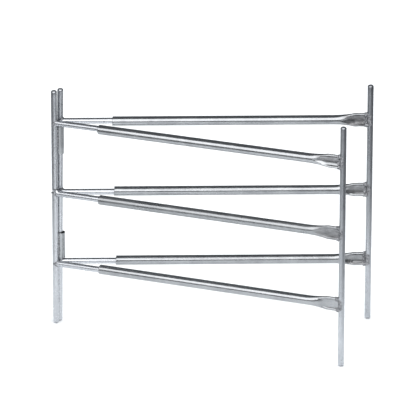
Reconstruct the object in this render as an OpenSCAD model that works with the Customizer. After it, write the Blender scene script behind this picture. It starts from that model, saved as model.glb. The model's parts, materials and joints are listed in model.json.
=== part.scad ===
// Livestock panel gate: two extending panels of galvanised round bar and tube, joined by
// a pair of hinge sleeves and standing in a V on the lower ends of their four uprights.
// Millimetres. Origin: centre of the hinge post's foot on the ground.
// +X runs along the back panel, +Y away from the front panel, +Z up.

/* [Uprights and rails] */
// Height of the two end posts from the ground
post_height = 901; // [880:1:960]
// Height of the two uprights at the hinge
hinge_post_height = 895; // [880:1:960]
// Diameter of the solid bar of the uprights and the rails
bar_d = 22; // [20:0.5:22]
// Height of the lower tubes
low_z = 233; // [225:1:240]
// Height of the middle tubes
middle_z = 501; // [496:1:510]
// Height of the upper tubes
high_z = 769; // [765:1:775]
// Height of the lower rail of the back panel, resting low in its tube
back_low_rail_z = 231.5; // [231:0.5:232]
// Height of the middle rail of the back panel
back_middle_rail_z = 499; // [498.5:0.5:501]
// Height of the upper rail of the back panel
back_high_rail_z = 771; // [769:0.5:771]
// Height of the lower rail of the front panel
front_low_rail_z = 231; // [231:0.5:233]
// Height of the middle rail of the front panel
front_middle_rail_z = 502.5; // [501:0.5:503]
// Height of the upper rail of the front panel
front_high_rail_z = 771.5; // [769:0.5:772]
// Reach of the rails from the axis of their upright
rail_reach = 840; // [800:5:850]
// Centreline radius of the bend where a middle rail turns up into its upright
bend_r = 19; // [17:0.5:24]
// Lean of the hinge post inside its sleeves, in degrees
hinge_post_lean = 0.75; // [0.4:0.05:0.85]

/* [Tubes] */
// Outside diameter of the tubes and the hinge sleeves
tube_d = 35; // [35:0.5:36]
// Wall of the tubes and the hinge sleeves
tube_wall = 2; // [1.6:0.1:2]
// Distance between the two uprights of the back panel
back_span = 1133; // [1120:5:1150]
// Distance between the two uprights of the front panel
front_span = 1118; // [1105:5:1140]
// Length of the upper back tube, from its upright to its open end
back_high_tube = 935; // [915:1:935]
// Length of the middle back tube
back_middle_tube = 930; // [915:1:935]
// Length of the lower back tube
back_low_tube = 925; // [905:1:935]
// Length of the front tubes
front_tube = 941; // [915:1:945]
// Height of the flattened tube ends
flat_h = 51.4; // [50:0.2:52]
// Length of the flattened tube ends beyond the surface of the upright
flat_len = 57; // [45:1:60]
// Length over which a tube changes from round to flat
taper_len = 65; // [50:1:70]
// Thickness of the two walls pressed together
web_t = 4.4; // [4.2:0.1:5]
// Diameter of the rolled edges of the flattened ends
edge_d = 7.6; // [7:0.1:8]
// Depth of the trough that runs down the near face of the flattened ends
flat_bow = 6.5; // [4:0.5:7]
// Shift of the middle of the flattened ends towards the far side of the panel
flat_shift = 5; // [4:0.5:5.5]

/* [Hinge] */
// Angle between the two panels
open_angle = 24; // [22:0.5:30]
// Distance between the axes of the sleeves and the upright that carries them
sleeve_offset = 29; // [28.7:0.1:29.2]
// Bearing of the sleeves from the line of the front panel, in degrees
sleeve_bearing = 75.4; // [75:0.2:90]
// Underside of the upper sleeve
upper_sleeve_z = 648; // [640:1:660]
// Top of the upper sleeve
upper_sleeve_top = 755.5; // [745:0.5:755.5]
// Length of the drawn-in lower end of the upper sleeve
sleeve_nose = 20; // [10:1:25]
// Loss of radius at the drawn-in end
nose_draw = 1.2; // [0.8:0.1:1.2]
// Underside of the lower sleeve
lower_sleeve_z = 247; // [247:0.5:255]
// Top of the lower sleeve
lower_sleeve_top = 345; // [335:1:350]

/* [Welds and edges] */
// Thickness of the weld round a rail end
rail_weld = 2.8; // [2:0.2:2.8]
// Extra thickness of that weld where it lies on the upright
weld_spread = 0.4; // [0.4:0.1:0.5]
// Thickness of the weld round a flattened tube end
tube_weld = 3; // [2:0.2:4]
// Width of the weld between a sleeve and its upright
sleeve_weld_w = 17; // [14:0.5:19]
// Chamfer on the ends of the uprights and rails
chamfer = 1.4; // [0.8:0.1:2]

/* [Hidden] */
$fn = 48;
bar_r = bar_d / 2;
tube_r = tube_d / 2;
bore_r = tube_r - tube_wall;
pivot_z = 500;
// the hinge post leans about pivot_z, which is where it crosses the axis of the sleeves
hinge_x = pivot_z * tan(hinge_post_lean);
// extra length that each trimmed piece carries into its neighbour before it is cut
overrun = 30;
// a bent bar is a hair thicker in its bend, where the straight parts reach just inside it
bend_swell = 0.1;
bend_lap = 0.3;
// rails and their welds are cut this much clear of each other, so that no faces coincide
weld_gap = 0.04;
loft_n = 28;
loft_steps = 6;
// how far inside the flat bar the skin of the taper ends, so that no faces coincide
shell_inset = 0.4;
steel = [0.72, 0.74, 0.76];
tube_steel = [0.76, 0.78, 0.80];
weld_steel = [0.55, 0.56, 0.57];

// ---------------------------------------------------------------- placing

// puts the upright at the local origin of a front panel piece
module on_front_panel() {
    translate([hinge_x, 0, 0])
        rotate([0, 0, -open_angle])
            translate([
                -sleeve_offset * cos(sleeve_bearing),
                -sleeve_offset * sin(sleeve_bearing),
                0
            ])
                children();
}

// puts the axis of the sleeves at the local origin, with the front upright towards -X
module on_hinge() {
    translate([hinge_x, 0, 0])
        rotate([0, 0, sleeve_bearing - open_angle])
            children();
}

// ---------------------------------------------------------------- shared shapes

// a solid bar along +Z, square at its near end and chamfered at its far end
module bar(length) {
    cylinder(r = bar_r, h = length - chamfer);
    translate([0, 0, length - chamfer])
        cylinder(r1 = bar_r, r2 = bar_r - chamfer, h = chamfer);
}

// an upright along +Z, chamfered at both ends
module upright() {
    cylinder(r1 = bar_r - chamfer, r2 = bar_r, h = chamfer);
    translate([0, 0, chamfer])
        bar(post_height - chamfer);
}

// an upright that leans towards +X about the middle of its foot
module leaning(lean) {
    rotate([0, lean, 0])
        children();
}

// the cylinder of an upright, longer than the upright at both ends
module post_cutter(lean, extra) {
    leaning(lean)
        translate([0, 0, -overrun])
            cylinder(r = bar_r + extra, h = post_height + 2 * overrun);
}

// position along +X of a leaning upright's axis at height z
function post_x(lean, z) = z * tan(lean);

// a rail along +X whose near end is fish-mouthed to fit the upright
module rail(lean, z) {
    difference() {
        translate([post_x(lean, z), 0, z])
            rotate([0, 90, 0])
                bar(rail_reach - post_x(lean, z));
        post_cutter(lean, weld_gap);
    }
}

// the collar of weld where a rail meets the upright
module rail_end_weld(lean, z) {
    difference() {
        intersection() {
            translate([post_x(lean, z), 0, z])
                rotate([0, 90, 0])
                    cylinder(r = bar_r + rail_weld + weld_spread, h = bar_d);
            post_cutter(lean, rail_weld);
        }
        post_cutter(lean, 0);
        translate([post_x(lean, z) - 1, 0, z])
            rotate([0, 90, 0])
                cylinder(r = bar_r + 2 * weld_gap, h = 2 * bar_d);
    }
}

// the upper part of an upright, bent at its foot into the middle rail
module bent_bar(lean, z) {
    turn = 90 + lean;
    // the bend's centre is bend_r above the rail and bend_r beside the leaning upright
    centre_x = post_x(lean, z + bend_r) + bend_r / cos(lean);
    centre_z = z + bend_r;
    // how far up the leaning upright its straight part starts
    start = centre_z / cos(lean) + bend_r * tan(lean);
    leaning(lean)
        translate([0, 0, start - bend_lap])
            bar(hinge_post_height / cos(lean) - start + bend_lap);
    translate([centre_x, 0, centre_z])
        rotate([90, 0, 0])
            rotate([0, 0, 180 - lean])
                rotate_extrude(angle = turn)
                    translate([bend_r, 0])
                        circle(r = bar_r + bend_swell);
    translate([centre_x - bend_lap, 0, z])
        rotate([0, 90, 0])
            bar(rail_reach - centre_x + bend_lap);
}

// the lower part of an upright, shaped on top to sit under the bend
module lower_bar(lean, z) {
    difference() {
        leaning(lean)
            translate([0, 0, -overrun])
                cylinder(r = bar_r, h = z + overrun - 1);
        bent_bar(lean, z);
        translate([0, 0, -2 * overrun])
            cube([4 * bar_d, 4 * bar_d, 4 * overrun], center = true);
    }
}

// the weld that closes the step between the bend and the lower part of the upright
module lower_bar_weld(lean, z) {
    difference() {
        leaning(lean)
            translate([0, 0, z - bar_r - 4])
                cylinder(r = bar_r + 2.4, h = bar_r + 12);
        bent_bar(lean, z);
        lower_bar(lean, z);
    }
}

// ---------------------------------------------------------------- flattened tubes

// height of the centres of the rolled edges above and below the tube's middle
edge_z = (flat_h - edge_d) / 2;
// radius of the arc that the flattened section is bowed to
bow_r = (edge_z * edge_z + flat_bow * flat_bow) / (2 * flat_bow);

// where the middle of the flattened section's thickness is at height z
function bow_y(z) = flat_shift - bow_r + sqrt(bow_r * bow_r - pow(min(abs(z), edge_z), 2));

// where the far (side = 1) or near (side = -1) face of the flattened section is at height z
function face_y(z, side) =
    let (
        d = sqrt(max(0, pow(edge_d / 2, 2) - pow(abs(z) - edge_z, 2))),
        edge = side * bow_y(edge_z) + d,
        web = side * bow_y(z) + web_t / 2
    )
    side * (abs(z) > edge_z ? edge : max(edge, web));

// one point of a section at angle a, as it goes from a circle of radius r (s = 0)
// to the flattened section less a skin of the thickness given (s = 1)
function loft_point(a, s, r, skin) =
    let (
        side = abs(cos(a)) < 0.001 ? 0 : sign(cos(a)),
        flat_z = (flat_h / 2 - skin) * sin(a),
        flat_y = side == 0 ? bow_y(edge_z) : face_y(flat_z, side) - side * skin,
        e = s * s * (3 - 2 * s)
    )
    [
        (1 - e) * r * cos(a) + e * flat_y,
        (1 - e) * r * sin(a) + e * flat_z
    ];

// one ring of a section at distance x along the taper
function ring(x, r, skin) = [
    for (k = [0 : loft_n - 1])
        let (p = loft_point(360 * k / loft_n, max(0, min(1, x / taper_len)), r, skin))
        [x, p[0], p[1]]
];

// the two triangles of each panel between ring i and ring j; out = 1 faces outwards
function band(i, j, out) = [
    for (k = [0 : loft_n - 1])
        let (
            m = (k + 1) % loft_n,
            a = i * loft_n + k,
            b = i * loft_n + m,
            c = j * loft_n + k,
            d = j * loft_n + m
        )
        each out == 1 ? [[a, c, b], [b, c, d]] : [[a, b, c], [b, d, c]]
];

// the triangles that close ring i, in level strips; out = 1 faces +X
function end_cap(i, out) = [
    for (j = [-loft_n / 4 : loft_n / 4 - 1])
        let (
            a = i * loft_n + (j + loft_n) % loft_n,
            b = i * loft_n + (j + 1 + loft_n) % loft_n,
            c = i * loft_n + (loft_n / 2 - j - 1) % loft_n,
            d = i * loft_n + (loft_n / 2 - j) % loft_n
        )
        each [
            if (b != c) (out == 1 ? [a, c, b] : [a, b, c]),
            if (a != d) (out == 1 ? [a, d, c] : [a, c, d])
        ]
];

// the shell that changes from a round tube to the flattened section, along +X from 0;
// its walls start inside the wall of the round tube and end inside the flat bar
module taper_shell(lap) {
    outer = [-lap, for (i = [1 : loft_steps]) taper_len * i / loft_steps, taper_len + lap];
    inner = [-lap, for (i = [1 : loft_steps - 2]) taper_len * i / loft_steps];
    n_outer = len(outer);
    n_inner = len(inner);
    points = concat(
        [for (x = outer) each ring(x, tube_r - 0.05, shell_inset)],
        [for (x = inner) each ring(x, bore_r + 0.05, tube_wall)]
    );
    faces = concat(
        [for (i = [0 : n_outer - 2]) each band(i, i + 1, 1)],
        [for (i = [0 : n_inner - 2]) each band(n_outer + i, n_outer + i + 1, 0)],
        band(0, n_outer, 0),
        end_cap(n_outer - 1, 1),
        end_cap(n_outer + n_inner - 1, 0)
    );
    polyhedron(points = points, faces = faces, convexity = 6);
}

// the flattened section as an exact outline, with X along the tube's height
module flat_outline(grow) {
    for (side = [-1, 1])
        translate([side * edge_z, bow_y(edge_z)])
            circle(d = edge_d + 2 * grow);
    intersection() {
        translate([0, flat_shift - bow_r])
            difference() {
                circle(r = bow_r + web_t / 2 + grow);
                circle(r = bow_r - web_t / 2 - grow);
            }
        translate([-edge_z, -flat_h])
            square([2 * edge_z, 2 * flat_h]);
    }
}

// the flattened end from x = 0 to x = length along +X
module flat_bar(length, grow) {
    rotate([0, 90, 0])
        linear_extrude(height = length)
            flat_outline(grow);
}

// a tube whose far end is flattened; its open end is at x = span - length
module flattened_tube(span, length, z) {
    open_x = span - length;
    flat_x = span - bar_r - flat_len;
    taper_x = flat_x - taper_len;
    difference() {
        union() {
            translate([open_x, 0, z])
                rotate([0, 90, 0])
                    difference() {
                        cylinder(r = tube_r, h = taper_x - open_x);
                        translate([0, 0, -1])
                            cylinder(r = bore_r, h = taper_x - open_x + 2);
                    }
            translate([taper_x, 0, z])
                taper_shell(1);
            translate([flat_x, 0, z])
                flat_bar(flat_len + bar_d, 0);
        }
        translate([span, 0, 0])
            post_cutter(0, 0);
        translate([span, -bar_d, 0])
            cube([2 * bar_d, 2 * bar_d, post_height]);
    }
}

// the weld round the end of a flattened tube
module tube_end_weld(span, z) {
    difference() {
        intersection() {
            translate([span - bar_d, 0, z])
                flat_bar(bar_d, tube_weld);
            translate([span, 0, 0])
                post_cutter(0, tube_weld);
        }
        translate([span, 0, 0])
            post_cutter(0, 0);
        translate([span - bar_d - 1, 0, z])
            flat_bar(2 * bar_d, 0);
    }
}

// ---------------------------------------------------------------- hinge sleeves

// a straight sleeve on the hinge axis
module sleeve(bottom, top) {
    translate([0, 0, bottom])
        difference() {
            cylinder(r = tube_r, h = top - bottom);
            translate([0, 0, -1])
                cylinder(r = bore_r, h = top - bottom + 2);
        }
}

// the upper sleeve, whose lower end is drawn in slightly
module nosed_sleeve(bottom, top) {
    translate([0, 0, bottom])
        difference() {
            union() {
                cylinder(r1 = tube_r - nose_draw, r2 = tube_r, h = sleeve_nose);
                translate([0, 0, sleeve_nose])
                    cylinder(r = tube_r, h = top - bottom - sleeve_nose);
            }
            translate([0, 0, -sleeve_nose])
                cylinder(r = bore_r - nose_draw, h = 2 * sleeve_nose);
            cylinder(r1 = bore_r - nose_draw, r2 = bore_r, h = sleeve_nose);
            translate([0, 0, sleeve_nose])
                cylinder(r = bore_r, h = top - bottom);
        }
}

// the two beads that join a sleeve to its upright, which stands towards -X
module sleeve_bead(bottom, top) {
    difference() {
        translate([-sleeve_offset, -sleeve_weld_w / 2, bottom])
            cube([sleeve_offset, sleeve_weld_w, top - bottom]);
        translate([-sleeve_offset, 0, bottom - 1])
            cylinder(r = bar_r, h = top - bottom + 2);
        translate([0, 0, bottom - 1])
            cylinder(r = tube_r, h = top - bottom + 2);
    }
}

// ---------------------------------------------------------------- back panel

module back_post_and_middle_rail() {
    color(steel)
        bent_bar(hinge_post_lean, back_middle_rail_z);
}

module back_lower_post() {
    color(steel)
        lower_bar(hinge_post_lean, back_middle_rail_z);
}

module back_high_rail() {
    color(steel)
        rail(hinge_post_lean, back_high_rail_z);
}

module back_low_rail() {
    color(steel)
        rail(hinge_post_lean, back_low_rail_z);
}

module back_high_rail_weld() {
    color(weld_steel)
        rail_end_weld(hinge_post_lean, back_high_rail_z);
}

module back_low_rail_weld() {
    color(weld_steel)
        rail_end_weld(hinge_post_lean, back_low_rail_z);
}

module back_lower_post_weld() {
    color(weld_steel)
        lower_bar_weld(hinge_post_lean, back_middle_rail_z);
}

module back_end_post() {
    color(steel)
        translate([back_span, 0, 0])
            upright();
}

module back_high_tube_piece() {
    color(tube_steel)
        flattened_tube(back_span, back_high_tube, high_z);
}

module back_middle_tube_piece() {
    color(tube_steel)
        flattened_tube(back_span, back_middle_tube, middle_z);
}

module back_low_tube_piece() {
    color(tube_steel)
        flattened_tube(back_span, back_low_tube, low_z);
}

module back_high_tube_weld() {
    color(weld_steel)
        tube_end_weld(back_span, high_z);
}

module back_middle_tube_weld() {
    color(weld_steel)
        tube_end_weld(back_span, middle_z);
}

module back_low_tube_weld() {
    color(weld_steel)
        tube_end_weld(back_span, low_z);
}

// ---------------------------------------------------------------- front panel

module front_post_and_middle_rail() {
    color(steel)
        on_front_panel()
            bent_bar(0, front_middle_rail_z);
}

module front_lower_post() {
    color(steel)
        on_front_panel()
            lower_bar(0, front_middle_rail_z);
}

module front_high_rail() {
    color(steel)
        on_front_panel()
            rail(0, front_high_rail_z);
}

module front_low_rail() {
    color(steel)
        on_front_panel()
            rail(0, front_low_rail_z);
}

module front_high_rail_weld() {
    color(weld_steel)
        on_front_panel()
            rail_end_weld(0, front_high_rail_z);
}

module front_low_rail_weld() {
    color(weld_steel)
        on_front_panel()
            rail_end_weld(0, front_low_rail_z);
}

module front_lower_post_weld() {
    color(weld_steel)
        on_front_panel()
            lower_bar_weld(0, front_middle_rail_z);
}

module upper_hinge_sleeve() {
    color(tube_steel)
        on_hinge()
            nosed_sleeve(upper_sleeve_z, upper_sleeve_top);
}

module lower_hinge_sleeve() {
    color(tube_steel)
        on_hinge()
            sleeve(lower_sleeve_z, lower_sleeve_top);
}

module upper_sleeve_weld() {
    color(weld_steel)
        on_hinge()
            sleeve_bead(upper_sleeve_z + sleeve_nose + 8, upper_sleeve_top - 10);
}

module lower_sleeve_weld() {
    color(weld_steel)
        on_hinge()
            sleeve_bead(lower_sleeve_z + 12, lower_sleeve_top - 12);
}

module front_end_post() {
    color(steel)
        on_front_panel()
            translate([front_span, 0, 0])
                upright();
}

module front_high_tube_piece() {
    color(tube_steel)
        on_front_panel()
            flattened_tube(front_span, front_tube, high_z);
}

module front_middle_tube_piece() {
    color(tube_steel)
        on_front_panel()
            flattened_tube(front_span, front_tube, middle_z);
}

module front_low_tube_piece() {
    color(tube_steel)
        on_front_panel()
            flattened_tube(front_span, front_tube, low_z);
}

module front_high_tube_weld() {
    color(weld_steel)
        on_front_panel()
            tube_end_weld(front_span, high_z);
}

module front_middle_tube_weld() {
    color(weld_steel)
        on_front_panel()
            tube_end_weld(front_span, middle_z);
}

module front_low_tube_weld() {
    color(weld_steel)
        on_front_panel()
            tube_end_weld(front_span, low_z);
}

// ---------------------------------------------------------------- assembly

back_post_and_middle_rail();
back_lower_post();
back_high_rail();
back_low_rail();
back_high_rail_weld();
back_low_rail_weld();
back_lower_post_weld();
front_post_and_middle_rail();
front_lower_post();
front_high_rail();
front_low_rail();
front_high_rail_weld();
front_low_rail_weld();
front_lower_post_weld();
upper_hinge_sleeve();
lower_hinge_sleeve();
upper_sleeve_weld();
lower_sleeve_weld();
back_end_post();
back_high_tube_piece();
back_middle_tube_piece();
back_low_tube_piece();
back_high_tube_weld();
back_middle_tube_weld();
back_low_tube_weld();
front_end_post();
front_high_tube_piece();
front_middle_tube_piece();
front_low_tube_piece();
front_high_tube_weld();
front_middle_tube_weld();
front_low_tube_weld();
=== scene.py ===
"""Looks for a galvanised livestock panel gate: two extending panels, hinged in a V.

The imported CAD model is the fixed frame. Each bar, tube, sleeve and weld is built again here
as a fine mesh on the CAD part's own axes, stands for that part and rides the same body.
Metres. Each panel has axes of its own: x along it from its hinge-side upright, y towards its
far side, z up.
"""

import json
import math

import bpy
import numpy as np
from mathutils import Matrix, Vector


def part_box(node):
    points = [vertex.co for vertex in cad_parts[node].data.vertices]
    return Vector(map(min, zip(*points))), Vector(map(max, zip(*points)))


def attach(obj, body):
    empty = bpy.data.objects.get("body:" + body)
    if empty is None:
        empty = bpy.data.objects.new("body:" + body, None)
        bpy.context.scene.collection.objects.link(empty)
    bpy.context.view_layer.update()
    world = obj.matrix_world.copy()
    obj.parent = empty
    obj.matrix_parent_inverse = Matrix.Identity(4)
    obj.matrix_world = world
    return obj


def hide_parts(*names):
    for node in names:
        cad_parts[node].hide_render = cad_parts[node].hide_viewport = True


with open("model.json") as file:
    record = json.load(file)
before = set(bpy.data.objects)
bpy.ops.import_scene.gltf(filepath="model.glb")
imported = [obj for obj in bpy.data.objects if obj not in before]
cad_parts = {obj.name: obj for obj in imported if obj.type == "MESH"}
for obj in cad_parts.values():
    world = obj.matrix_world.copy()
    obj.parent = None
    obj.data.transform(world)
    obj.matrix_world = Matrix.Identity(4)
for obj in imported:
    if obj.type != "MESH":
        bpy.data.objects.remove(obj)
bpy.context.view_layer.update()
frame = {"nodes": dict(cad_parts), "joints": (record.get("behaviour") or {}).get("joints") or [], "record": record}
JOINTS = {joint["name"]: joint for joint in frame["joints"]}
SLOTS = {part["node"]: part["material_slot"] for part in frame["record"]["subparts"]}

# ------------------------------------------------------------------ sizes

WALL = 0.002
BEND_R = 0.019  # centreline of the bend between a middle rail and its upright
EDGE_EASE = 0.0072  # radius that the bars' cut ends are eased to
EDGE_R = 0.0056  # rolled edges of a flattened tube end
WEB = 0.0044  # its two walls pressed together
BOW = 0.0065  # depth of the trough down its near face
EDGE_Y = -0.0015  # how far its rolled edges lie towards the near side
FLAT_LEN = 0.044
TAPER_LEN = 0.084
NOSE_LEN = 0.028  # drawn-in lower end of the upper sleeve
NOSE_DRAW = 0.0010
CUT_SLANT = 0.04  # how far out of square a tube's open end is sawn, per unit of height
CUT_REACH = 0.03  # length of tube that the slant fades out over
CUT_BURR = 0.00025  # unevenness of a tube's sawn rim

FLATTEN_POWER = 2.1  # a taper starts gently and ends fast
TROUGH_START = 0.30  # share of the taper at which the near face begins to sink
TROUGH_RUN = 0.55  # share of the taper over which it sinks
TROUGH_DIP = 0.43  # how much deeper it is half way, as a share of its depth
TROUGH_MOUTH = 0.15  # its width where it begins, as a share of its full width

ROUND = 72  # points round a bar or a tube
EDGE_STEPS = 11  # rings round a bar's eased edge
LIP_STEPS = 7  # rings round the rim of a tube
BEND_STEPS = 14  # rings round the bend
BAR_STEP = 0.012  # about the gap between a bar's rings
FLAT_STEPS, TAPER_STEPS, TUBE_STEPS = 14, 40, 70  # rings along each stretch of a tube
SHARP_ANGLE = math.radians(38)

# relief of the zinc on each kind of surface: wavelength and height
WAVE_COUNT = 9
WAVE_SPREAD = (0.6, 1.8)
BAR_RELIEF = (0.05, 0.00006)
TUBE_RELIEF = (0.08, 0.00004)
FLAT_RELIEF = (0.013, 0.00022)
SLEEVE_RELIEF = (0.05, 0.00007)
BEAD_RELIEF = (0.004, 0.00018)
BEAD_GRAIN = (0.0017, 0.0001)

# kinds of weld bead: radius, pitch of its puddles, and drops of spatter beside each path
BEADS = {
    "bend": (0.0030, 0.0024, 0),
    "rail": (0.0026, 0.0024, 2),
    "tube": (0.0029, 0.0029, 3),
    "sleeve": (0.0034, 0.0026, 4),
}
BEAD_VOXEL = 0.00065
BEAD_SINK = 0.0012  # how deep in the post the washed-out part of a tube's bead runs

# no two ends were flattened alike: the share of BOW that each is dished by, how strongly its
# zinc is dulled and darkened there (dull zinc with painted shade), and how far down its near face that reaches
FLATTENED = {
    "back_high": (0.75, 0.95, -0.030),
    "back_middle": (0.55, 0.75, -0.014),
    "back_low": (0.90, 0.55, -0.026),
    "front_high": (1.00, 0.95, -0.006),
    "front_middle": (0.35, 0.65, -0.030),
    "front_low": (0.08, 0.15, -0.020),
}


# ------------------------------------------------------------------ axes from the frame


def upright_axes(across):
    """A rotation that has its x along a level direction and its z up."""
    x = Vector((across[0], across[1], 0)).normalized()
    return Matrix((x, Vector((-x.y, x.x, 0)), Vector((0, 0, 1)))).transposed().to_4x4()


class Panel:
    """One panel's axes, and the places of its parts along them."""

    def __init__(self, side, origin, direction, lean):
        self.side = side
        self.lean = lean
        self.matrix = Matrix.Translation(origin) @ upright_axes(direction)
        self.inverse = np.array(self.matrix.inverted())
        self.span = float(self.extent("end_post").mean(0)[0])

    def extent(self, part):
        """The lowest and highest corner of a CAD node, in this panel's axes."""
        mesh = frame["nodes"][f"{self.side}_{part}"].data
        co = np.ones((len(mesh.vertices), 4))
        co[:, :3] = np.array([v.co for v in mesh.vertices])
        local = (co @ self.inverse.T)[:, :3]
        return np.array((local.min(0), local.max(0)))

    def post_x(self, z):
        """Where the axis of the hinge-side upright is at height z."""
        return z * math.tan(self.lean)


def middle(node):
    """The middle of a CAD node's box."""
    low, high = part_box(node)
    return (low + high) / 2


def half_size(node, axis):
    """Half the size of a CAD node's box along one axis."""
    low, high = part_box(node)
    return (high[axis] - low[axis]) / 2


Y, Z = 1, 2
BAR_R = half_size("back_end_post", Y)
TUBE_R = half_size("lower_hinge_sleeve", Y)
BORE_R = TUBE_R - WALL
FLAT_HALF = half_size("back_high_tube_piece", Z)

HINGE = Vector(JOINTS["panel_hinge"]["pos_m"])
FOOT = middle("front_lower_post")
FRONT_AXIS = JOINTS["front_panel_slide"]["axis"]
PANELS = (
    Panel("back", Vector((0, 0, 0)), (1, 0), math.atan2(HINGE.x, HINGE.z)),
    Panel("front", Vector((FOOT.x, FOOT.y, 0)), FRONT_AXIS, 0.0),
)

# ------------------------------------------------------------------ mesh tools


def waves(points, wavelength, amount, seed):
    """Smooth random relief over an array of points, from a few crossing sine waves."""
    waves_rng = np.random.default_rng(seed)
    total = np.zeros(len(points))
    for _ in range(WAVE_COUNT):
        direction = waves_rng.normal(size=3)
        direction /= np.linalg.norm(direction)
        k = 2 * math.pi / (wavelength * waves_rng.uniform(*WAVE_SPREAD))
        total += np.sin(points @ direction * k + waves_rng.uniform(0, 2 * math.pi))
    return total * amount / math.sqrt(WAVE_COUNT)


def new_object(name, verts, faces, matrix=None):
    """A smooth-shaded object in the shared frame; sharp only where its surface really turns."""
    mesh = bpy.data.meshes.new(name)
    mesh.from_pydata([tuple(v) for v in verts], [], faces)
    mesh.validate()
    if matrix is not None:
        mesh.transform(matrix)
    mesh.shade_smooth()
    mesh.set_sharp_from_angle(angle=SHARP_ANGLE)
    obj = bpy.data.objects.new(name, mesh)
    bpy.context.scene.collection.objects.link(obj)
    return obj


def skin(rings):
    """Vertices and faces of a closed surface through rings of points, fanned shut at its ends."""
    rings = [np.asarray(r, float) for r in rings]
    n = len(rings[0])
    verts = list(np.vstack(rings))
    faces = []
    for i in range(len(rings) - 1):
        for k in range(n):
            m = (k + 1) % n
            faces.append((i * n + k, i * n + m, (i + 1) * n + m, (i + 1) * n + k))
    first, last = len(verts), len(verts) + 1
    verts += [rings[0].mean(0), rings[-1].mean(0)]
    top = (len(rings) - 1) * n
    for k in range(n):
        m = (k + 1) % n
        faces.append((first, m, k))
        faces.append((last, top + k, top + m))
    return verts, faces


def circle(radius):
    """Points (side, up) round a circle, starting at the far side."""
    a = np.arange(ROUND) * 2 * math.pi / ROUND
    return np.column_stack((radius * np.cos(a), radius * np.sin(a)))


def ring_on(section, centre, tangent):
    """A section of (side, up) points set square to a tangent that has no y."""
    side = np.array((0.0, 1.0, 0.0))
    up = np.cross(np.array(tangent, float), side)
    up = up if up[2] > 0 or (abs(up[2]) < 1e-9 and up[0] < 0) else -up
    return np.asarray(centre) + section[:, :1] * side + section[:, 1:] * up


def rounded_end(radius):
    """(depth, radius) steps from the cut face of a bar round its eased edge to full radius."""
    steps = [(0.0, radius - EDGE_EASE * 1.15)]
    for a in np.linspace(0, math.pi / 2, EDGE_STEPS):
        steps.append((EDGE_EASE * (1 - math.cos(a)), radius - EDGE_EASE * (1 - math.sin(a))))
    return steps


def sweep(path, start_cut, end_cut, seed):
    """Rings of a solid bar along a path; path(s) gives centre and tangent at length s.

    A cut end is eased round to its face; an uncut end stops inside its neighbour.
    """
    total = path.length
    stations = rounded_end(BAR_R) if start_cut else [(0.0, BAR_R)]
    count = max(3, int(total / BAR_STEP))
    inner = np.linspace(stations[-1][0], total - EDGE_EASE * 1.6, count)
    stations += [(float(s), BAR_R) for s in inner[1:-1]]
    stations += [(float(s), BAR_R) for s in path.extra]
    stations.sort()
    if end_cut:
        stations += [(total - d, r) for d, r in reversed(rounded_end(BAR_R))]
    else:
        stations += [(total, BAR_R)]
    rings = []
    for s, r in stations:
        centre, tangent = path(s)
        ring = ring_on(circle(r), centre, tangent)
        swell = waves(ring, *BAR_RELIEF, seed)
        rings.append(ring + (ring - centre) / r * swell[:, None])
    return rings


class Line:
    """A straight path."""

    extra = ()

    def __init__(self, start, end):
        self.start = np.array(start, float)
        self.length = float(np.linalg.norm(np.array(end) - self.start))
        self.tangent = (np.array(end) - self.start) / self.length

    def __call__(self, s):
        return self.start + self.tangent * s, self.tangent


class Bend:
    """Down a leaning upright, round the bend at its foot and along the middle rail."""

    def __init__(self, lean, top_z, rail_z, reach):
        self.lean = lean
        self.axis = np.array((math.sin(lean), 0, math.cos(lean)))
        centre_z = rail_z + BEND_R
        self.centre = np.array((centre_z * math.tan(lean) + BEND_R / math.cos(lean), 0, centre_z))
        self.knee = self.centre + BEND_R * np.array((-math.cos(lean), 0, math.sin(lean)))
        self.top = self.knee + self.axis * (top_z / math.cos(lean) - self.knee @ self.axis)
        self.straight = float(np.linalg.norm(self.top - self.knee))
        self.arc = BEND_R * (math.pi / 2 + lean)
        self.length = self.straight + self.arc + reach - self.centre[0]
        steps = range(BEND_STEPS + 1)
        self.extra = [self.straight + self.arc * i / BEND_STEPS for i in steps]

    def __call__(self, s):
        if s < self.straight:
            return self.top - self.axis * s, -self.axis
        if s < self.straight + self.arc:
            a = (s - self.straight) / BEND_R
            spoke = math.pi - self.lean + a
            radial = np.array((math.cos(spoke), 0, math.sin(spoke)))
            return self.centre + BEND_R * radial, np.array((-radial[2], 0, radial[0]))
        along = s - self.straight - self.arc
        start = self.centre - np.array((0, 0, BEND_R))
        return start + np.array((along, 0, 0)), np.array((1.0, 0, 0))


# ------------------------------------------------------------------ flattened tubes


def smooth(t):
    """An even step from 0 to 1 that starts and ends gently."""
    t = np.clip(t, 0.0, 1.0)
    return t * t * (3 - 2 * t)


def lengths_along(points):
    """The length of a polyline up to each of its points."""
    gaps = np.linalg.norm(np.diff(points, axis=0), axis=1)
    return np.concatenate(([0], np.cumsum(gaps)))


def spread(points, count):
    """Points spaced evenly along a polyline, both ends included."""
    points = np.asarray(points)
    at = lengths_along(points)
    want = np.linspace(0, at[-1], count)
    return np.column_stack([np.interp(want, at, points[:, i]) for i in range(2)])


def slot_outline(grow=0.0, n=ROUND):
    """A pressed tube before it is bowed, as (side, up) points: two rolled edges and a web."""
    edge_r, web = EDGE_R + grow, WEB / 2 + grow
    edge_z = FLAT_HALF - EDGE_R
    neck = edge_z - math.sqrt(edge_r**2 - web**2)
    web_points, arc_points = 12, 24
    flat = [(web, z) for z in np.linspace(0, neck, web_points)[:-1]]
    arc = [
        (edge_r * math.cos(a), edge_z + edge_r * math.sin(a))
        for a in np.linspace(-math.acos(web / edge_r), math.pi / 2, arc_points)
    ]
    quarter = spread(flat + arc, n // 4 + 1)
    upper = np.vstack((quarter, (quarter * (-1, 1))[::-1][1:]))
    lower = (upper * (-1, -1))[1:-1]
    return np.vstack((upper, lower)) + (EDGE_Y, 0)


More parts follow.
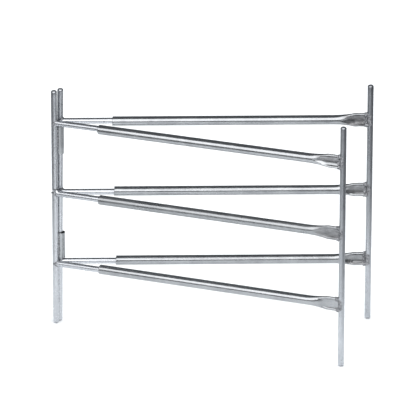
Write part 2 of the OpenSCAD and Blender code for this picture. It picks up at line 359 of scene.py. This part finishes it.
def flatness(s):
    """How far the section has gone from round to flat at the share s of the taper."""
    return max(0.0, s) ** FLATTEN_POWER


def trough(z, s, side, bow=BOW):
    """How far a face of the section is pushed to the far side at height z."""
    if side < 0:
        opened = smooth((s - TROUGH_START) / (1 - TROUGH_START))
        half = (FLAT_HALF - EDGE_R) * (TROUGH_MOUTH + (1 - TROUGH_MOUTH) * opened)
        sunk = smooth((s - TROUGH_START) / TROUGH_RUN)
        depth = bow * (sunk + TROUGH_DIP * math.sin(math.pi * opened))
    else:
        half = FLAT_HALF - EDGE_R
        depth = bow * smooth((s - 0.5) / 0.5)
    u = np.clip(np.abs(z) / half, 0, 1)
    steepness = 1.6 - 0.6 * min(s, 1.0)
    return depth * (1 - u**2) ** steepness


def tube_section(s, radius, thin=1.0, bow=BOW):
    """A tube's section where it is the share s of the way from round to flat."""
    e = flatness(s)
    section = circle(radius) * (1 - e) + slot_outline() * (thin, 1) * e
    near = section[:, 0] < EDGE_Y * e
    if s > 0:
        section[near, 0] += trough(section[near, 1], s, -1, bow)
        section[~near, 0] += trough(section[~near, 1], s, 1, bow)
    return section


def pressed_mask(section, s, floor):
    """Where the press has left the zinc dull and painted shade darkens it: from the trough's upper flank down to
    floor.
    """
    z = section[:, 1]
    turn = np.arange(len(section)) / len(section)
    near = (turn > 0.27) & (turn < 0.73)
    top, top_fade, floor_fade = 0.016, 0.005, 0.006
    band = smooth((z - floor) / floor_fade) * (1 - smooth((z - top) / top_fade))
    dished = near * band * smooth((s - 0.35) / 0.4)
    all_round = 0.25 * smooth((s - 0.8) / 0.2)
    return (dished + all_round).clip(0, 1)


def saw_cut(ring, open_x, z):
    """Slants the part of a tube that is near its open end, longest at the bottom."""
    near_cut = 1 - smooth((ring[:, 0] - open_x) / CUT_REACH)
    ring[:, 0] += CUT_SLANT * (ring[:, 2] - z + TUBE_R) * near_cut


def tube_rings(open_x, span, z, seed, dish, strength, floor):
    """A flattened tube as one closed skin: flat end, taper, round length, rim and bore."""
    flat_x = span - BAR_R - FLAT_LEN
    taper_x = flat_x - TAPER_LEN
    in_post_x = span - BAR_R * 0.35
    stations = [(x, 1.0) for x in np.linspace(in_post_x, flat_x, FLAT_STEPS)]
    stations += [(flat_x - TAPER_LEN * t, 1 - t) for t in np.linspace(0, 1, TAPER_STEPS)[1:]]
    stations += [(x, 0.0) for x in np.linspace(taper_x, open_x + WALL / 2, TUBE_STEPS)[1:]]
    bow = BOW * dish
    outer, masks = [], []
    for x, s in stations:
        section = tube_section(s, TUBE_R, bow=bow)
        ring = ring_on(section, (x, 0, z), (1, 0, 0))
        relief = waves(ring, *TUBE_RELIEF, seed)
        relief += smooth(s) * waves(ring, *FLAT_RELIEF, seed + 1)
        out = section / np.linalg.norm(section, axis=1)[:, None]
        ring[:, 1:] += out * relief[:, None]
        saw_cut(ring, open_x, z)
        outer.append(ring)
        masks.append(strength * pressed_mask(section, s, floor))
    rim = []
    lip = WALL / 2
    burr = CUT_BURR * np.sin(np.arange(ROUND) * 4 * math.pi / ROUND + seed)
    for a in np.linspace(0, math.pi, LIP_STEPS):
        r = BORE_R + lip + lip * math.cos(a)
        ring = ring_on(circle(r), (open_x + lip - lip * math.sin(a), 0, z), (1, 0, 0))
        ring[:, 0] += burr * math.sin(a)
        saw_cut(ring, open_x, z)
        rim.append(ring)
    inside = [(open_x + 0.004, 0), (open_x + 0.2, 0), (taper_x, 0)]
    inside += [(taper_x + TAPER_LEN * t, t) for t in np.linspace(0, 0.35, 5)[1:]]
    bore = [ring_on(tube_section(s, BORE_R, 0.5), (x, 0, z), (1, 0, 0)) for x, s in inside]
    masks += [np.zeros(ROUND)] * (len(rim) + len(bore))
    return outer + rim + bore, np.concatenate(masks + [np.zeros(2)])


# ------------------------------------------------------------------ welds


def bead(name, kind, paths, body, stands_for, matrix, seed):
    """A weld laid as overlapping puddles along paths, fused into one lumpy skin."""
    radius, pitch, spatter = BEADS[kind]
    bead_rng = np.random.default_rng(seed)
    verts, faces = [], []
    count, levels = 12, 7

    def puddle(at, r):
        squash = bead_rng.uniform(0.85, 1.1, 3)
        base = len(verts)
        for i in range(1, levels):
            polar = math.pi * i / levels
            flat, rise = math.sin(polar), math.cos(polar)
            for k in range(count):
                a = 2 * math.pi * k / count
                d = np.array((flat * math.cos(a), flat * math.sin(a), rise))
                verts.append(at + d * r * squash)
        verts.extend((at + (0, 0, r * squash[2]), at - (0, 0, r * squash[2])))
        top, bottom = len(verts) - 2, len(verts) - 1
        for i in range(levels - 2):
            for k in range(count):
                a, b = base + i * count + k, base + i * count + (k + 1) % count
                faces.append((a, a + count, b + count, b))
        last = base + (levels - 2) * count
        for k in range(count):
            faces.append((top, base + k, base + (k + 1) % count))
            faces.append((bottom, last + (k + 1) % count, last + k))

    for path in paths:
        path = np.asarray(path, float)
        at = lengths_along(path)
        for s in np.arange(0, at[-1], pitch):
            s = s + bead_rng.uniform(-0.2, 0.2) * pitch
            centre = np.array([np.interp(s, at, path[:, i]) for i in range(3)])
            jitter = bead_rng.normal(size=3) * radius * 0.1
            puddle(centre + jitter, radius * bead_rng.uniform(0.84, 1.12))
        for _ in range(spatter):
            drop = path[bead_rng.integers(len(path))] + bead_rng.normal(size=3) * radius * 1.1
            puddle(drop, radius * bead_rng.uniform(0.2, 0.4))
    obj = new_object(name, verts, faces, matrix)
    fuse = obj.modifiers.new("fuse", "REMESH")
    fuse.mode = "VOXEL"
    fuse.voxel_size = BEAD_VOXEL
    ease = obj.modifiers.new("ease", "SMOOTH")
    ease.iterations = 3
    apply_modifiers(obj)
    co = np.array([v.co for v in obj.data.vertices])
    normals = np.array([v.normal for v in obj.data.vertices])
    co += normals * (waves(co, *BEAD_RELIEF, seed) + waves(co, *BEAD_GRAIN, seed + 7))[:, None]
    obj.data.vertices.foreach_set("co", co.ravel())
    obj.data.shade_smooth()
    finish_piece(obj, body, stands_for)


def apply_modifiers(obj):
    """Turns what an object's modifiers make of it into its mesh."""
    depsgraph = bpy.context.evaluated_depsgraph_get()
    mesh = bpy.data.meshes.new_from_object(obj.evaluated_get(depsgraph))
    obj.modifiers.clear()
    obj.data = mesh


# ------------------------------------------------------------------ materials


class Nodes:
    """Short calls for building a material's node tree."""

    def __init__(self, name):
        self.material = bpy.data.materials.new(name)
        self.material.use_nodes = True
        self.tree = self.material.node_tree
        self.shader = self.tree.nodes["Principled BSDF"]
        self.place = self.tree.nodes.new("ShaderNodeTexCoord").outputs["Object"]

    def link(self, a, b):
        """Joins an output to an input."""
        self.tree.links.new(a, b)

    def noise(self, scale, detail, rough, stretch=None):
        """Clouded noise over the object, finer in a direction with a larger stretch."""
        node = self.tree.nodes.new("ShaderNodeTexNoise")
        node.inputs["Scale"].default_value = scale
        node.inputs["Detail"].default_value = detail
        node.inputs["Roughness"].default_value = rough
        source = self.place
        if stretch:
            mapping = self.tree.nodes.new("ShaderNodeMapping")
            mapping.inputs["Scale"].default_value = stretch
            self.link(source, mapping.inputs["Vector"])
            source = mapping.outputs["Vector"]
        self.link(source, node.inputs["Vector"])
        return node.outputs["Fac"]

    def cells(self, scale, output="Distance"):
        """A field of cells, as the distance to each cell's centre or a colour for each cell."""
        node = self.tree.nodes.new("ShaderNodeTexVoronoi")
        node.inputs["Scale"].default_value = scale
        self.link(self.place, node.inputs["Vector"])
        return node.outputs[output]

    def remap(self, value, old, new=(0.0, 1.0)):
        """A value moved from the range old to the range new, and held there."""
        node = self.tree.nodes.new("ShaderNodeMapRange")
        for socket, number in zip(("From Min", "From Max", "To Min", "To Max"), old + new):
            node.inputs[socket].default_value = number
        self.link(value, node.inputs["Value"])
        return node.outputs["Result"]

    def math(self, operation, a, b):
        """The result of an operation on two values, each an output or a number."""
        node = self.tree.nodes.new("ShaderNodeMath")
        node.operation = operation
        for socket, value in zip(node.inputs, (a, b)):
            if isinstance(value, (int, float)):
                socket.default_value = value
            else:
                self.link(value, socket)
        return node.outputs[0]

    def mix(self, factor, a, b):
        """A colour between two, each an output or a tuple."""
        node = self.tree.nodes.new("ShaderNodeMix")
        node.data_type = "RGBA"
        self.link(factor, node.inputs["Factor"])
        for socket, value in zip((node.inputs[6], node.inputs[7]), (a, b)):
            if isinstance(value, tuple):
                socket.default_value = value + (1.0,)
            else:
                self.link(value, socket)
        return node.outputs[2]

    def height(self):
        """Height above the ground of the point being shaded, while the gate is at rest."""
        node = self.tree.nodes.new("ShaderNodeSeparateXYZ")
        self.link(self.place, node.inputs["Vector"])
        return node.outputs["Z"]

    def gain(self, colour, value):
        """A colour made brighter or darker by a value."""
        node = self.tree.nodes.new("ShaderNodeVectorMath")
        node.operation = "SCALE"
        self.link(colour, node.inputs["Vector"])
        self.link(value, node.inputs["Scale"])
        return node.outputs["Vector"]

    def bump(self, height, strength, distance, below=None):
        """A normal bent by a height, on top of the normal below."""
        node = self.tree.nodes.new("ShaderNodeBump")
        node.inputs["Strength"].default_value = strength
        node.inputs["Distance"].default_value = distance
        self.link(height, node.inputs["Height"])
        if below is not None:
            self.link(below, node.inputs["Normal"])
        return node.outputs["Normal"]


def zinc(name, dark, light, rough, grain, wave, low_painted_light):
    """Galvanised steel: clouded zinc with faint crystals, fine grain and dulled patches.

    Below half a metre its colour is brightened towards the ground by the last argument: painted light, standing in
    for the bright floor that the lower metal mirrors.
    """
    n = Nodes(name)
    n.shader.inputs["Metallic"].default_value = 1.0
    clouds = n.noise(scale=14, detail=4, rough=0.6)
    spangle = n.remap(n.cells(scale=150, output="Color"), (0.2, 0.8), (0.35, 0.65))
    runs = n.noise(scale=26, detail=3, rough=0.5, stretch=(1.0, 1.0, 0.18))
    tone = n.math("ADD", n.math("MULTIPLY", clouds, 0.5), n.math("MULTIPLY", spangle, 0.22))
    tone = n.math("ADD", tone, n.math("MULTIPLY", runs, 0.28))
    colour = n.mix(n.remap(tone, (0.36, 0.64)), dark, light)
    # painted light: the colour is made brighter low down, where the metal mirrors the bright floor
    colour = n.gain(colour, n.remap(n.height(), (0.10, 0.50), (low_painted_light, 1.0)))
    # grey pin spots where the zinc has dulled
    pins = n.remap(n.noise(scale=420, detail=2, rough=0.5), (0.66, 0.74), (0.0, 0.35))
    colour = n.mix(pins, colour, tuple(c * 0.55 for c in dark))
    # where a tube end was pressed flat the zinc is dull and streaked, and its colour is darkened as painted shade
    # in the trough
    pressed = n.tree.nodes.new("ShaderNodeAttribute")
    pressed.attribute_name = "pressed"
    streaks = n.noise(scale=120, detail=4, rough=0.65, stretch=(0.3, 0.3, 1.0))
    dull_shaded_zinc = n.mix(n.remap(streaks, (0.36, 0.62)), (0.10, 0.10, 0.105), (0.30, 0.30, 0.31))
    colour = n.mix(pressed.outputs["Fac"], colour, dull_shaded_zinc)
    n.link(colour, n.shader.inputs["Base Color"])
    sheen = n.remap(n.math("ADD", clouds, n.math("MULTIPLY", spangle, 0.3)), (0.45, 0.85), rough)
    sheen = n.math("ADD", sheen, n.math("MULTIPLY", pressed.outputs["Fac"], 0.14))
    n.link(sheen, n.shader.inputs["Roughness"])
    long_wave = n.bump(n.noise(scale=55, detail=2, rough=0.4), wave, 0.0006)
    fine = n.bump(n.noise(scale=900, detail=3, rough=0.6), grain, 0.0001, long_wave)
    n.link(fine, n.shader.inputs["Normal"])
    return n.material


def weld_metal(name):
    """Zinc over weld: rougher and darker, with pits, scale and bright rubbed crowns."""
    n = Nodes(name)
    n.shader.inputs["Metallic"].default_value = 1.0
    patches = n.noise(scale=160, detail=4, rough=0.65)
    pits = n.remap(n.cells(scale=620), (0.0, 0.45))
    dark, light, rubbed = (0.09, 0.092, 0.10), (0.40, 0.405, 0.425), (0.58, 0.59, 0.62)
    colour = n.mix(n.remap(patches, (0.38, 0.62)), dark, light)
    geometry = n.tree.nodes.new("ShaderNodeNewGeometry")
    crowns = n.remap(geometry.outputs["Pointiness"], (0.5, 0.56), (0.0, 0.6))
    colour = n.mix(crowns, colour, rubbed)
    n.link(colour, n.shader.inputs["Base Color"])
    n.link(n.remap(patches, (0.3, 0.7), (0.36, 0.62)), n.shader.inputs["Roughness"])
    scale = n.bump(n.noise(scale=520, detail=4, rough=0.7), 0.7, 0.0004)
    pitted = n.bump(pits, 0.35, 0.0003, scale)
    n.link(pitted, n.shader.inputs["Normal"])
    return n.material


def floor_paint():
    """Pale studio floor, with a trace of unevenness in tone and sheen."""
    n = Nodes("pale_floor")
    clouds = n.remap(n.noise(scale=1.5, detail=2, rough=0.5), (0.3, 0.7))
    n.link(n.mix(clouds, (0.86, 0.865, 0.87), (0.89, 0.895, 0.90)), n.shader.inputs["Base Color"])
    sheen = n.remap(n.noise(scale=6, detail=2, rough=0.5), (0.3, 0.7), (0.7, 0.85))
    n.link(sheen, n.shader.inputs["Roughness"])
    n.shader.inputs["Specular IOR Level"].default_value = 0.2
    return n.material


MATERIALS = {
    # the bars and the end posts are one stock: the bars' zinc is coloured lighter, painted light, and the end
    # posts' darker, painted shade, for how brightly each side of the gate is lit
    "bar_steel": zinc(
        "zinc_on_bar",
        dark=(0.43, 0.444, 0.470),
        light=(0.54, 0.558, 0.588),
        rough=(0.22, 0.34),
        grain=0.05,
        wave=0.03,
        low_painted_light=1.08,
    ),
    "end_post": zinc(
        "zinc_on_end_post",
        dark=(0.27, 0.281, 0.300),
        light=(0.37, 0.385, 0.408),
        rough=(0.24, 0.40),
        grain=0.08,
        wave=0.05,
        low_painted_light=1.5,
    ),
    "tube_steel": zinc(
        "zinc_on_tube",
        dark=(0.285, 0.294, 0.308),
        light=(0.395, 0.407, 0.42),
        rough=(0.15, 0.27),
        grain=0.05,
        wave=0.025,
        low_painted_light=1.0,
    ),
    "dull_tube": zinc(
        "dull_zinc_on_tube",
        dark=(0.25, 0.259, 0.27),
        light=(0.36, 0.371, 0.384),
        rough=(0.25, 0.36),
        grain=0.05,
        wave=0.025,
        low_painted_light=1.0,
    ),
    "weld_metal": weld_metal("zinc_on_weld"),
}

# pieces whose zinc is duller than the rest of their steel; the end posts' zinc is also darker, painted shade, as
# if less lit than the hinge-side bars
DULL_AND_SHADED = {
    "back_end_post": "end_post",
    "front_end_post": "end_post",
    "front_middle_tube_piece": "dull_tube",
}

# ------------------------------------------------------------------ pieces


def finish_piece(obj, body, *stands_for):
    """Gives a piece its material and body, and lets it stand for its CAD nodes."""
    slot = SLOTS[stands_for[0]]
    obj.data.materials.clear()
    obj.data.materials.append(MATERIALS[DULL_AND_SHADED.get(stands_for[0], slot)])
    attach(obj, body)
    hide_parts(*stands_for)


def piece(name, rings, matrix, body, *stands_for):
    """A closed piece skinned over rings, facing outwards."""
    verts, faces = skin(rings)
    obj = new_object(name, verts, faces, matrix)
    if mesh_volume(obj.data) < 0:
        obj.data.flip_normals()
    finish_piece(obj, body, *stands_for)
    return obj


def mesh_volume(mesh):
    """The volume a mesh closes in, less than nothing where it faces inwards."""
    mesh.calc_loop_triangles()
    co = np.array([v.co for v in mesh.vertices])
    tris = np.array([t.vertices for t in mesh.loop_triangles])
    a, b, c = co[tris[:, 0]], co[tris[:, 1]], co[tris[:, 2]]
    return float(np.einsum("ij,ij->i", a, np.cross(b, c)).sum() / 6)


def rail_frame(panel):
    """The uprights and rails of the half that carries the hinge."""
    side, body, lean = panel.side, f"{panel.side}_rail_frame", panel.lean
    bent = panel.extent("post_and_middle_rail")
    top_z, reach = float(bent[1][2]), float(bent[1][0])
    rail_z = float(bent[0][2]) + BAR_R
    bend = Bend(lean, top_z, rail_z, reach)
    rings = sweep(bend, True, True, seed=3)
    piece(f"{side}_bent_bar", rings, panel.matrix, body, f"{side}_post_and_middle_rail")

    up = np.array((math.sin(lean), 0, math.cos(lean)))
    lower = Line((0, 0, 0), up * (rail_z - 0.001))
    rings = sweep(lower, True, False, seed=5)
    piece(f"{side}_lower_upright", rings, panel.matrix, body, f"{side}_lower_post")
    saddle_weld(panel, rail_z)

    for level in ("high", "low"):
        rail = panel.extent(f"{level}_rail")
        z = float(rail.mean(0)[2])
        start = panel.post_x(z) + BAR_R * 0.3
        line = Line((start, 0, z), (float(rail[1][0]), 0, z))
        rings = sweep(line, False, True, seed=7 + len(level))
        piece(f"{side}_{level}_rail_bar", rings, panel.matrix, body, f"{side}_{level}_rail")
        end_weld(panel, level, z)


def saddle_weld(panel, rail_z):
    """The bead under the bend, where the lower half of the upright is butted to it."""
    path = []
    highest, drop, inset = rail_z + 0.002, 0.001, 0.97
    for a in np.linspace(0, 2 * math.pi, 61):
        x, y = BAR_R * math.cos(a), BAR_R * math.sin(a)
        reach = BEND_R + math.sqrt(max(0.0, BAR_R**2 - y**2))
        under = rail_z + BEND_R - math.sqrt(max(0.0, reach**2 - (BEND_R - x) ** 2))
        z = min(under, highest) - drop
        path.append((panel.post_x(z) + x * inset, y * inset, z))
    name, node = f"{panel.side}_bend_bead", f"{panel.side}_lower_post_weld"
    bead(name, "bend", [path], f"{panel.side}_rail_frame", node, panel.matrix, 31)


def end_weld(panel, level, z):
    """The weld round the fish-mouthed end of a rail, washed out over the front of the post."""
    paths = []
    r = BAR_R + 0.0002
    for shift, inset in ((0.0, 0.0), (0.0035, 0.0008), (0.0065, 0.0014)):
        path = []
        for a in np.linspace(0, 2 * math.pi, 61):
            y, dz = r * math.cos(a), (r - shift * 0.5) * math.sin(a)
            x = math.sqrt(max(0.0, r**2 - y**2)) - shift * abs(y / r) ** 2
            hypot = max(1.0, math.hypot(x, y) / (r - inset))
            path.append((panel.post_x(z + dz) + x / hypot, y / hypot, z + dz))
        paths.append(path)
    name, node = f"{panel.side}_{level}_rail_bead", f"{panel.side}_{level}_rail_weld"
    seed = 41 + len(level) + len(panel.side)
    bead(name, "rail", paths, f"{panel.side}_rail_frame", node, panel.matrix, seed)


def tube_frame(panel):
    """The end post and the three tubes that slide on the rails."""
    side, body = panel.side, f"{panel.side}_tube_frame"
    post = panel.extent("end_post")
    line = Line((panel.span, 0, 0), (panel.span, 0, float(post[1][2])))
    rings = sweep(line, True, True, seed=11)
    piece(f"{side}_end_upright", rings, panel.matrix, body, f"{side}_end_post")
    for i, level in enumerate(("high", "middle", "low")):
        tube = panel.extent(f"{level}_tube_piece")
        open_x, z = float(tube[0][0]), float(tube.mean(0)[2])
        seed = 13 + 10 * i + len(side)
        rings, mask = tube_rings(open_x, panel.span, z, seed, *FLATTENED[f"{side}_{level}"])
        obj = piece(f"{side}_{level}_tube", rings, panel.matrix, body, f"{side}_{level}_tube_piece")
        # dull zinc and painted shade over the pressed end, as a point attribute
        pressed = obj.data.attributes.new("pressed", "FLOAT", "POINT")
        pressed.data.foreach_set("value", mask)
        flat_weld(panel, level, z, seed)


def on_post(panel, turn, z):
    """A point just inside the end post, turned from the side the tubes join to the near side."""
    r = BAR_R - BEAD_SINK
    return (panel.span - r * math.cos(turn), -r * math.sin(turn), z)


def flat_weld(panel, level, z, seed):
    """The weld round a flattened end, washed out over the near and far face of the post."""
    weld_rng = np.random.default_rng(seed)
    outline = slot_outline(0.0006, 120)
    outline[:, 0] += trough(outline[:, 1], 1.0, 1)
    paths = []
    # loops round the flattened end, each further along it from the post and deeper in it
    for back_off, lift in ((0.0008, 0.0), (0.0042, -0.0010), (0.0074, -0.0017)):
        loop = []
        inward = outline / np.linalg.norm(outline, axis=1)[:, None] * lift
        places = np.column_stack((outline, outline[:, 0]))
        ragged = waves(places, 0.02, 0.0022, seed + int(back_off * 1e4))
        for (y, dz), (in_y, in_z), rag in zip(outline, inward, ragged):
            x = panel.span - math.sqrt(max(0.0, (BAR_R + 0.001) ** 2 - y**2)) - back_off
            loop.append((x - rag * min(1.0, back_off * 300), y + in_y, z + dz + in_z))
        paths.append(loop + loop[:1])
    # runs up the near face of the post, shorter the further round it they are
    for turn in (0.42, 0.74, 1.04, 1.32, 1.58, 1.82):
        reach = FLAT_HALF * (1.0 - 0.17 * turn) * weld_rng.uniform(0.86, 1.0)
        lift = weld_rng.uniform(-0.002, 0.002)
        heights = np.linspace(-reach, reach, 18)
        places = np.column_stack((heights, heights, heights))
        wander = waves(places, 0.012, 0.10, seed + int(turn * 100))
        paths.append([on_post(panel, turn + w, z + lift + h) for h, w in zip(heights, wander)])
    # runs up its far face
    for turn in (-0.75, -1.05):
        heights = np.linspace(-FLAT_HALF * 0.85, FLAT_HALF * 0.85, 14)
        paths.append([on_post(panel, turn, z + h) for h in heights])
    name, node = f"{panel.side}_{level}_tube_bead", f"{panel.side}_{level}_tube_weld"
    bead(name, "tube", paths, f"{panel.side}_tube_frame", node, panel.matrix, seed)


def hinge_sleeves():
    """The two sleeves on the front upright, round the back upright."""
    across = Vector((HINGE.x - FOOT.x, HINGE.y - FOOT.y, 0))
    gap = across.length
    matrix = Matrix.Translation((HINGE.x, HINGE.y, 0)) @ upright_axes(across)
    body = "front_rail_frame"
    bead_out, bead_in = 0.0018, 0.003  # beyond the steel it joins, and in from its own ends
    for level, seed in (("upper", 81), ("lower", 83)):
        low, high = (corner.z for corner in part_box(f"{level}_hinge_sleeve"))
        nose = NOSE_DRAW if level == "upper" else 0.0
        rings = sleeve_rings(low, high, nose, seed)
        open_piece(f"{level}_sleeve", rings, matrix, body, f"{level}_hinge_sleeve")
        weld_low, weld_high = (corner.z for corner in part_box(f"{level}_sleeve_weld"))
        reach_post, reach_sleeve = BAR_R + bead_out, TUBE_R + bead_out
        from_post = (reach_post**2 - reach_sleeve**2 + gap**2) / (2 * gap)
        y = math.sqrt(reach_post**2 - from_post**2)
        paths = [
            [(from_post - gap, side * y, z) for z in (weld_low + bead_in, weld_high - bead_in)]
            for side in (1, -1)
        ]
        node = f"{level}_sleeve_weld"
        bead(f"{level}_sleeve_bead", "sleeve", paths, body, node, matrix, seed)


def sleeve_rings(low, high, nose, seed):
    """A sleeve as one closed skin, out and back through its bore."""
    lip = WALL / 2

    def drawn_in(z):
        return nose * (1 - smooth((z - low) / NOSE_LEN))

    def ring(radius, z):
        points = np.column_stack((circle(radius - drawn_in(z)), np.full(ROUND, z)))
        points[:, :2] *= 1 + waves(points, *SLEEVE_RELIEF, seed)[:, None] / radius
        return points

    rings = []
    middle_r = BORE_R + lip
    for a in np.linspace(0, math.pi, LIP_STEPS):
        rings.append(ring(middle_r + lip * math.cos(math.pi - a), low + lip - lip * math.sin(a)))
    rings += [ring(TUBE_R, z) for z in np.linspace(low + lip, high - lip, 40)[1:-1]]
    for a in np.linspace(0, math.pi, LIP_STEPS):
        rings.append(ring(middle_r + lip * math.cos(a), high - lip + lip * math.sin(a)))
    rings += [ring(BORE_R, z) for z in np.linspace(high - lip, low + lip, 12)[1:-1]]
    return rings


def without_fans(verts, faces):
    """A skin whose first and last rings meet, without the fans that shut its ends."""
    return verts[:-2], [f for f in faces if max(f) < len(verts) - 2]


def open_piece(name, rings, matrix, body, node):
    """A piece whose rings run right round a wall, so that its last ring meets its first."""
    verts, faces = without_fans(*skin(rings + [rings[0]]))
    finish_piece(new_object(name, verts, faces, matrix), body, node)


# ------------------------------------------------------------------ stage

# the camera: the point it looks at, how far off and at what angles it is, and its lens in mm
LOOK_AT = Vector((0.5454, 0.0, 0.433))
DISTANCE = 16.2
ELEVATION = math.radians(19.51)
AZIMUTH = math.radians(-1.39)
ROLL = math.radians(0.08)
LENS = 384.5
SENSOR = 36
FLOOR_HALF = 30.0
FLOOR_TINT = (0.97, 0.99, 1.0)
WORLD_COLOUR = (0.185, 0.193, 0.202, 1)

# the softbox that the metal mirrors: its angle up from the gate's middle, how far off it is,
# how far left as a share of that, its size, its brightness and its tint
GATE_MIDDLE = Vector((0.55, -0.2, 0.5))
SOFTBOX_LIFT = math.radians(42)
SOFTBOX_AWAY = 2.8
SOFTBOX_LEFT = 0.25
SOFTBOX_SIZE = (5.6, 3.0)
SOFTBOX_RADIANCE = 2.55
SOFTBOX_TINT = (1.0, 0.995, 0.99)

# pools of light on the floor: the stretch of x and of y each lies over, its height, brightness
WASHES = {
    "floor_wash": ((-0.95, 2.05), (-0.30, 6.00), 1.1, 1.75),
    "front_wash": ((-0.75, 1.85), (-1.05, -0.45), 1.0, 3.5),
    "near_pool": ((0.00, 0.66), (-3.20, -1.15), 0.9, 4.2),
}


def camera():
    """A long-lens camera in front of the gate, above it and slightly to the left."""
    data = bpy.data.cameras.new("camera")
    data.lens = LENS
    data.sensor_width = SENSOR
    data.clip_end = 100
    obj = bpy.data.objects.new("camera", data)
    bpy.context.scene.collection.objects.link(obj)
    flat = math.cos(ELEVATION)
    ahead = Vector((-math.sin(AZIMUTH) * flat, math.cos(AZIMUTH) * flat, -math.sin(ELEVATION)))
    level = Vector((math.cos(AZIMUTH), math.sin(AZIMUTH), 0))
    right = math.cos(ROLL) * level + math.sin(ROLL) * level.cross(ahead)
    up = right.cross(ahead)
    rotation = Matrix((right, up, -ahead)).transposed().to_4x4()
    obj.matrix_world = Matrix.Translation(LOOK_AT - ahead * DISTANCE) @ rotation
    bpy.context.scene.camera = obj


def soft_light(name, place, aim, width, height, radiance, tint, floor_only):
    """A one-sided rectangle of even brightness, for the floor or for the metal."""
    data = bpy.data.lights.new(name, "AREA")
    data.shape = "RECTANGLE"
    data.size, data.size_y = width, height
    data.energy = radiance * math.pi * width * height
    data.color = tint
    obj = bpy.data.objects.new(name, data)
    bpy.context.scene.collection.objects.link(obj)
    obj.location = place
    obj.rotation_euler = (Vector(aim) - Vector(place)).to_track_quat("-Z", "Y").to_euler()
    obj.visible_camera = False
    obj.visible_glossy = not floor_only
    obj.visible_diffuse = floor_only


def studio():
    """The floor, the lights and the even grey all round."""
    corners = [(-1, -1), (1, -1), (1, 1), (-1, 1)]
    verts = [(x * FLOOR_HALF, y * FLOOR_HALF, 0) for x, y in corners]
    floor = new_object("floor", verts, [(0, 1, 2, 3)])
    floor.data.materials.append(floor_paint())
    off = Vector((-SOFTBOX_LEFT, -math.cos(SOFTBOX_LIFT), math.sin(SOFTBOX_LIFT)))
    place = GATE_MIDDLE + SOFTBOX_AWAY * off
    aim = GATE_MIDDLE + SOFTBOX_AWAY * Vector((-SOFTBOX_LEFT, 0, 0))
    soft_light("front_softbox", place, aim, *SOFTBOX_SIZE, SOFTBOX_RADIANCE, SOFTBOX_TINT, False)
    for name, (across, along, height, radiance) in WASHES.items():
        place = Vector((sum(across) / 2, sum(along) / 2, height))
        width, depth = across[1] - across[0], along[1] - along[0]
        aim = place - Vector((0, 0, 1))
        soft_light(name, place, aim, width, depth, radiance, FLOOR_TINT, True)
    world = bpy.data.worlds.new("studio")
    world.use_nodes = True
    world.node_tree.nodes["Background"].inputs["Color"].default_value = WORLD_COLOUR
    bpy.context.scene.world = world
    bpy.context.scene.view_settings.view_transform = "Standard"


for panel in PANELS:
    rail_frame(panel)
    tube_frame(panel)

hinge_sleeves()
studio()
camera()
